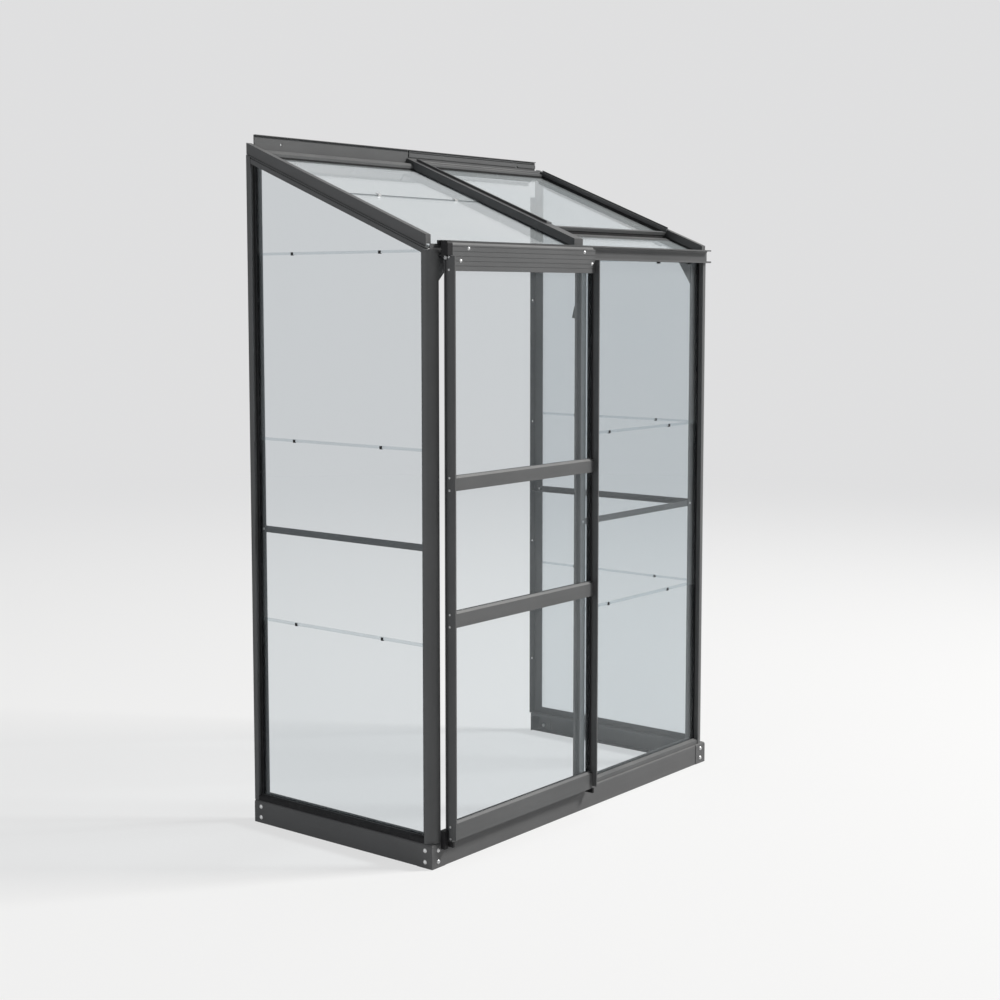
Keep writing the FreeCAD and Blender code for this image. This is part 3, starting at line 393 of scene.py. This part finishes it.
class CoatSettings(bpy.types.PropertyGroup):
    colour: FloatVectorProperty(
        name="Coat colour", description="Colour of the powder coat on the bars",
        subtype="COLOR", size=3, min=0.0, max=1.0, default=(0.088, 0.09, 0.092))
    base_colour: FloatVectorProperty(
        name="Base colour", description="Colour of the coat on the steel base",
        subtype="COLOR", size=3, min=0.0, max=1.0, default=(0.09, 0.091, 0.093))
    roughness: FloatProperty(
        name="Roughness", description="How matt the powder coat is",
        subtype="FACTOR", min=0.0, max=1.0, default=0.4)


class GlassSettings(bpy.types.PropertyGroup):
    tint: FloatVectorProperty(
        name="Tint", description="Colour that the glass lets through",
        subtype="COLOR", size=3, min=0.0, max=1.0, default=(0.9, 0.916, 0.925))
    share: FloatProperty(
        name="Veil",
        description="How much of a pane's face shows instead of what is behind it",
        subtype="FACTOR", min=0.0, max=1.0, default=0.01)


class SealSettings(bpy.types.PropertyGroup):
    lip: FloatProperty(
        name="Lip", description="How far the rubber reaches over each face of a door pane",
        unit="LENGTH", min=0.0005, max=0.005, default=0.0018)
    front_wall: FloatProperty(
        name="Front wall", description="Thickness of the rubber in front of a door pane",
        unit="LENGTH", min=0.001, max=0.004, default=0.0038)
    rear_wall: FloatProperty(
        name="Rear wall", description="Thickness of the rubber behind a door pane",
        unit="LENGTH", min=0.001, max=0.0052, default=0.005)
    back_wall: FloatProperty(
        name="Edge wall", description="Thickness of the rubber beside the edge of a door pane",
        unit="LENGTH", min=0.0003, max=0.0009, default=0.0008)
    bite: FloatProperty(
        name="Rail overlap",
        description="How far the rails hide the top and bottom of a door pane",
        unit="LENGTH", min=0.008, max=0.02, default=0.0084)


class StageSettings(bpy.types.PropertyGroup):
    floor_colour: FloatVectorProperty(
        name="Floor colour", description="Colour of the studio floor",
        subtype="COLOR", size=3, min=0.0, max=1.0, default=(0.86, 0.86, 0.86))
    backdrop: FloatVectorProperty(
        name="Surroundings", description="Pale colour that stands behind the object",
        subtype="COLOR", size=3, min=0.0, max=1.0, default=(0.74, 0.74, 0.745))
    floor_size: FloatProperty(
        name="Floor size", description="Length of each side of the floor",
        unit="LENGTH", min=2.0, default=60.0)
    floor_glow: FloatProperty(
        name="Floor whiteness",
        description="How far the floor near the object is lifted to white",
        subtype="FACTOR", min=0.0, max=1.0, default=0.7)
    key_power: FloatProperty(
        name="Key lamp", description="Power of the large lamp in front, to the right",
        unit="POWER", min=0.0, default=1850.0)
    fill_power: FloatProperty(
        name="Fill lamp", description="Power of the soft lamp on the left",
        unit="POWER", min=0.0, default=34.0)
    sky: FloatProperty(
        name="Ambient light", description="Strength of the even light from all round",
        min=0.0, default=0.16)


# One operator for each group of pieces, and one for the stage


class GREENHOUSE_OT_bars(bpy.types.Operator):
    """Coat the posts, rafters, rails and stiles"""
    bl_idname = "greenhouse.bars"
    bl_label = "Extruded bars"

    def execute(self, context):
        settings = context.scene.greenhouse_coat
        coats = {axis: powder_coat(name, settings.colour, settings.roughness, marks)
                 for axis, (name, marks) in BAR_COATS.items()}
        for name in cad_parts:
            if name not in NOT_BARS:
                low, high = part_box(name)
                size = high - low
                paint([name], coats[max(range(3), key=lambda axis: size[axis])])
        return {"FINISHED"}


class GREENHOUSE_OT_base(bpy.types.Operator):
    """Coat the steel base"""
    bl_idname = "greenhouse.base"
    bl_label = "Steel base"

    def execute(self, context):
        settings = context.scene.greenhouse_coat
        roughness = settings.roughness + BASE_EXTRA_ROUGHNESS
        paint(STEEL, powder_coat("coat_base", settings.base_colour, roughness, BASE_MARKS))
        return {"FINISHED"}


class GREENHOUSE_OT_glass(bpy.types.Operator):
    """Glaze the walls, the door, the roof and the vent"""
    bl_idname = "greenhouse.glass"
    bl_label = "Glass"

    def execute(self, context):
        settings = context.scene.greenhouse_glass
        # colour is each finish's cut-edge colour; the roof's is painted shade
        for panes, name, axis, colour, mirror in GLAZING:
            glass = clear_glass(name, settings.tint, settings.share, axis, colour, mirror)
            paint(panes, glass)
        return {"FINISHED"}


class GREENHOUSE_OT_door_seals(bpy.types.Operator):
    """Fit rubber channels round the side edges of the door panes, inside the stiles"""
    bl_idname = "greenhouse.door_seals"
    bl_label = "Door seals"

    def execute(self, context):
        settings = context.scene.greenhouse_seal
        rubber = black_rubber("seal_rubber")
        for name in DOOR_PANES:
            low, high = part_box(name)
            for side, edge, away in (("left", low.x, -1.0), ("right", high.x, 1.0)):
                outline = self.channel(settings, edge, away, low.y, high.y)
                strip = extruded(name.replace("pane", "seal") + "_" + side, outline,
                                 low.z + settings.bite, high.z - settings.bite)
                strip.data.materials.append(rubber)
                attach(strip, "door")
        return {"FINISHED"}

    def channel(self, settings, edge, away, front, back):
        """Plan outline of a U channel that grips a pane's upright edge from both faces."""
        wall = edge + away * settings.back_wall
        clear = edge + away * 2 * SEAL_GAP
        lip = edge - away * settings.lip
        foremost = front - settings.front_wall
        rearmost = back + settings.rear_wall
        return [(wall, foremost), (lip, foremost + SEAL_CHAMFER),
                (lip, front - SEAL_GAP), (clear, front - SEAL_GAP),
                (clear, back + SEAL_GAP), (lip, back + SEAL_GAP),
                (lip, rearmost - SEAL_CHAMFER), (wall, rearmost)]


class GREENHOUSE_OT_trim(bpy.types.Operator):
    """Finish the rubber, the plastic pieces and the fasteners"""
    bl_idname = "greenhouse.trim"
    bl_label = "Rubber, plastic and fasteners"

    def execute(self, context):
        paint(RUBBER, black_rubber("black_rubber"))
        paint(PLASTIC, moulded_plastic("black_plastic"))
        paint(ZINC, zinc_plate("zinc"))
        return {"FINISHED"}


class GREENHOUSE_OT_stage(bpy.types.Operator):
    """Set the floor, the lamps, the pale surroundings and the camera"""
    bl_idname = "greenhouse.stage"
    bl_label = "Studio"

    def execute(self, context):
        scene = context.scene
        settings = scene.greenhouse_stage
        self.lay_floor(settings)
        self.light_world(scene, settings)
        area_lamp("key", KEY_PLACE, KEY_SIZE, settings.key_power, KEY_COLOUR)
        area_lamp("fill", FILL_PLACE, FILL_SIZE, settings.fill_power, FILL_COLOUR)
        self.set_camera(scene)
        scene.view_settings.view_transform = "Standard"
        return {"FINISHED"}

    def lay_floor(self, settings):
        floor = floor_plane(settings.floor_size)
        make = new_finish("studio_floor")
        fleck = make.noise(0.8, detail=3.0)
        colour = make.blend(fleck * 0.25, (*settings.floor_colour, 1.0), FLOOR_FLECK)
        lit = make.shader(Base_Color=colour, Roughness=0.85)
        away = make.distance().above(FLOOR_FADE_START, FLOOR_FADE_END)
        glow = make.blend(away, FLOOR_WHITE, (*settings.backdrop, 1.0))
        pale = make.wire("ShaderNodeEmission", "Emission", None, {"Color": glow})
        share = settings.floor_glow + (1.0 - settings.floor_glow) * away
        floor.data.materials.append(make.done(make.mix(seen_rays(make) * share, lit, pale)))

    def light_world(self, scene, settings):
        scene.world = bpy.data.worlds.new("studio")
        make = Finish(scene.world)
        even = make.wire("ShaderNodeBackground", "Background", None,
                         {"Color": SKY_COLOUR, "Strength": settings.sky})
        pale = make.wire("ShaderNodeBackground", "Background", None,
                         {"Color": (*settings.backdrop, 1.0)})
        make.done(make.mix(seen_rays(make), even, pale))

    def set_camera(self, scene):
        lens = bpy.data.cameras.new("camera")
        lens.sensor_width = SENSOR_MM
        lens.lens = FOCAL_SHARE * SENSOR_MM
        lens.shift_y = CENTRE_SHIFT
        lens.dof.use_dof = False
        camera = new_object("camera", lens)
        camera.location = CAMERA_PLACE
        camera.rotation_euler = (math.pi / 2 - CAMERA_PITCH, 0.0, -CAMERA_YAW)
        scene.camera = camera


OPERATORS = (
    GREENHOUSE_OT_bars,
    GREENHOUSE_OT_base,
    GREENHOUSE_OT_glass,
    GREENHOUSE_OT_door_seals,
    GREENHOUSE_OT_trim,
    GREENHOUSE_OT_stage,
)
SETTINGS = (
    ("greenhouse_coat", CoatSettings),
    ("greenhouse_glass", GlassSettings),
    ("greenhouse_seal", SealSettings),
    ("greenhouse_stage", StageSettings),
)


class GREENHOUSE_PT_panel(bpy.types.Panel):
    """Lists the pieces of the greenhouse and their settings"""
    bl_idname = "GREENHOUSE_PT_panel"
    bl_label = "Lean-to greenhouse"
    bl_space_type = "VIEW_3D"
    bl_region_type = "UI"
    bl_category = "Greenhouse"

    def draw(self, context):
        column = self.layout.column()
        for operator in OPERATORS:
            column.operator(operator.bl_idname)
        for group, _ in SETTINGS:
            settings = getattr(context.scene, group)
            for name in settings.__annotations__:
                column.prop(settings, name)


CLASSES = tuple(group for _, group in SETTINGS) + OPERATORS + (GREENHOUSE_PT_panel,)


def register():
    for item in CLASSES:
        bpy.utils.register_class(item)
    for name, group in SETTINGS:
        setattr(bpy.types.Scene, name, PointerProperty(type=group))


def unregister():
    for name, _ in SETTINGS:
        delattr(bpy.types.Scene, name)
    for item in reversed(CLASSES):
        bpy.utils.unregister_class(item)


def main():
    register()
    for operator in OPERATORS:
        group, name = operator.bl_idname.split(".")
        getattr(getattr(bpy.ops, group), name)()


if __name__ == "__main__":
    main()
